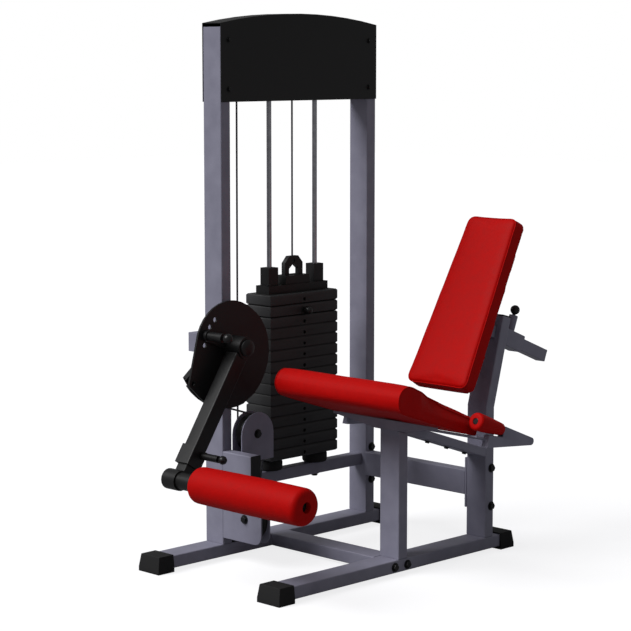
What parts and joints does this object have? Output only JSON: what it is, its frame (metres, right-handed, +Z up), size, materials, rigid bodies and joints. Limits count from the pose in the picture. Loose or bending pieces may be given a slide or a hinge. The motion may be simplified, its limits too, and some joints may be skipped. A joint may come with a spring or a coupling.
{
  "type": "leg extension machine",
  "caption": "Seated leg extension machine: a padded roller on a swinging lever lifts a pinned weight stack by cable and cam; reclined seat, sliding backrest, guide-rod tower.",
  "frame": {"origin": "middle of the machine's bounding box, on the floor", "axes": "+Z up, -Y the way the user faces, +X from the weight tower towards the seat"},
  "size_m": [0.902, 1.3324, 1.709],
  "materials": {
    "frame_paint": "satin lilac-grey powder coat",
    "black_paint": "satin black",
    "plate_iron": "black painted",
    "black_rubber": "moulded matt",
    "black_plastic": "moulded satin",
    "red_vinyl": "satin coated upholstery",
    "red_foam": "satin coated foam",
    "rod_chrome": "polished",
    "cable_steel": "coated wire rope"
  },
  "bodies": {
    "frame": {"left_rail": "frame_paint", "right_rail": "frame_paint", "foot_cap_front_left": "black_rubber", "foot_cap_front_right": "black_rubber", "foot_cap_rear_left": "black_rubber", "foot_cap_rear_right": "black_rubber", "base_crossbar": "frame_paint", "front_upright": "frame_paint", "rear_upright": "frame_paint", "stack_support_bar": "frame_paint", "rod_crossbar": "frame_paint", "front_guide_rod": "rod_chrome", "rear_guide_rod": "rod_chrome", "front_bumper": "black_rubber", "rear_bumper": "black_rubber", "top_pulley_bracket": "black_paint", "shroud_left": "black_paint", "shroud_right": "black_paint", "shroud_top": "black_paint", "resting_plates": "plate_iron", "main_cable": "cable_steel", "lift_cable": "cable_steel", "upper_pulley_bracket": "frame_paint", "lower_pulley_bracket": "black_paint", "upper_stub": "frame_paint", "lower_stub": "frame_paint", "bearing_housing": "frame_paint", "front_seat_post": "frame_paint", "rear_seat_post": "frame_paint", "seat_beam": "frame_paint", "seat_crossbar": "frame_paint", "crossbar_end_plate": "frame_paint", "seat_bracket": "frame_paint", "seat_pad": "red_vinyl", "handle_left": "frame_paint", "handle_right": "frame_paint", "grip_left": "red_foam", "grip_right": "red_foam", "backrest_sleeve": "frame_paint"},
    "cam": {"pivot_shaft": "black_paint", "cable_cam": "black_paint", "selector_disc": "black_paint", "cam_cable": "cable_steel"},
    "lever": {"lever_arm": "black_paint"},
    "start_pin": {"start_pin": "black_plastic"},
    "roller_carriage": {"roller_carriage": "black_paint"},
    "roller_pin": {"roller_pin": "black_plastic"},
    "roller": {"roller_pad": "red_foam"},
    "stack": {"top_plate": "plate_iron", "second_plate": "plate_iron", "stack_head": "black_paint"},
    "selector_pin": {"selector_pin": "black_plastic"},
    "top_rear_pulley": {"top_rear_pulley": "black_plastic"},
    "top_front_pulley": {"top_front_pulley": "black_plastic"},
    "lower_pulley": {"lower_pulley": "black_plastic"},
    "upper_pulley": {"upper_pulley": "black_plastic"},
    "backrest": {"backrest_pad": "red_vinyl", "backrest_slide": "frame_paint"},
    "backrest_pin": {"backrest_pin": "black_plastic"}
  },
  "joints": [
    {"name": "lever_swing", "type": "hinge", "parent": "frame", "child": "cam", "pos_m": [-0.385, -0.34116, 0.692], "axis": [-1, 0, 0], "range_deg": [0, 75]},
    {"name": "start_adjust", "type": "hinge", "parent": "cam", "child": "lever", "pos_m": [-0.255, -0.34116, 0.692], "axis": [1, 0, 0], "range_deg": [-32, 16]},
    {"name": "start_pin_pull", "type": "slide", "parent": "lever", "child": "start_pin", "axis": [1, 0, 0], "range_m": [0, 0.02], "stiffness_N_per_m": 500, "springref_m": -0.006},
    {"name": "reach_slide", "type": "slide", "parent": "lever", "child": "roller_carriage", "axis": [0, -0.5446, -0.8387], "range_m": [0, 0.1]},
    {"name": "roller_pin_pull", "type": "slide", "parent": "lever", "child": "roller_pin", "axis": [1, 0, 0], "range_m": [0, 0.018], "stiffness_N_per_m": 500, "springref_m": -0.006},
    {"name": "roller_spin", "type": "hinge", "parent": "roller_carriage", "child": "roller", "pos_m": [0.0915, -0.61116, 0.319], "axis": [1, 0, 0], "continuous": true},
    {"name": "stack_lift", "type": "slide", "parent": "frame", "child": "stack", "axis": [0, 0, 1], "range_m": [0, 0.26], "deforming": ["lift_cable"]},
    {"name": "selector_pull", "type": "slide", "parent": "stack", "child": "selector_pin", "axis": [1, 0, 0], "range_m": [0, 0.07]},
    {"name": "top_rear_pulley_turn", "type": "hinge", "parent": "frame", "child": "top_rear_pulley", "pos_m": [-0.395, -0.01016, 1.555], "axis": [1, 0, 0], "range_deg": [-5, 360]},
    {"name": "top_front_pulley_turn", "type": "hinge", "parent": "frame", "child": "top_front_pulley", "pos_m": [-0.395, -0.16216, 1.555], "axis": [1, 0, 0], "range_deg": [-5, 360]},
    {"name": "lower_pulley_turn", "type": "hinge", "parent": "frame", "child": "lower_pulley", "pos_m": [-0.37, -0.19216, 0.122], "axis": [1, 0, 0], "range_deg": [-5, 360]},
    {"name": "upper_pulley_turn", "type": "hinge", "parent": "frame", "child": "upper_pulley", "pos_m": [-0.3315, -0.20216, 0.395], "axis": [1, 0, 0], "range_deg": [-5, 360]},
    {"name": "backrest_depth", "type": "slide", "parent": "frame", "child": "backrest", "axis": [0, -0.9285, 0.3714], "range_m": [-0.06, 0.09]},
    {"name": "backrest_pin_pull", "type": "slide", "parent": "frame", "child": "backrest_pin", "axis": [0, 0.3714, 0.9285], "range_m": [0, 0.02], "stiffness_N_per_m": 500, "springref_m": -0.006}
  ],
  "couplings": [
    {"joint": "stack_lift", "follows": "lever_swing", "m_per_rad": 0.187},
    {"joint": "top_rear_pulley_turn", "follows": "lever_swing", "ratio": 4.1556},
    {"joint": "top_front_pulley_turn", "follows": "lever_swing", "ratio": 4.1556},
    {"joint": "lower_pulley_turn", "follows": "lever_swing", "ratio": 4.675},
    {"joint": "upper_pulley_turn", "follows": "lever_swing", "ratio": 3.2807}
  ]
}
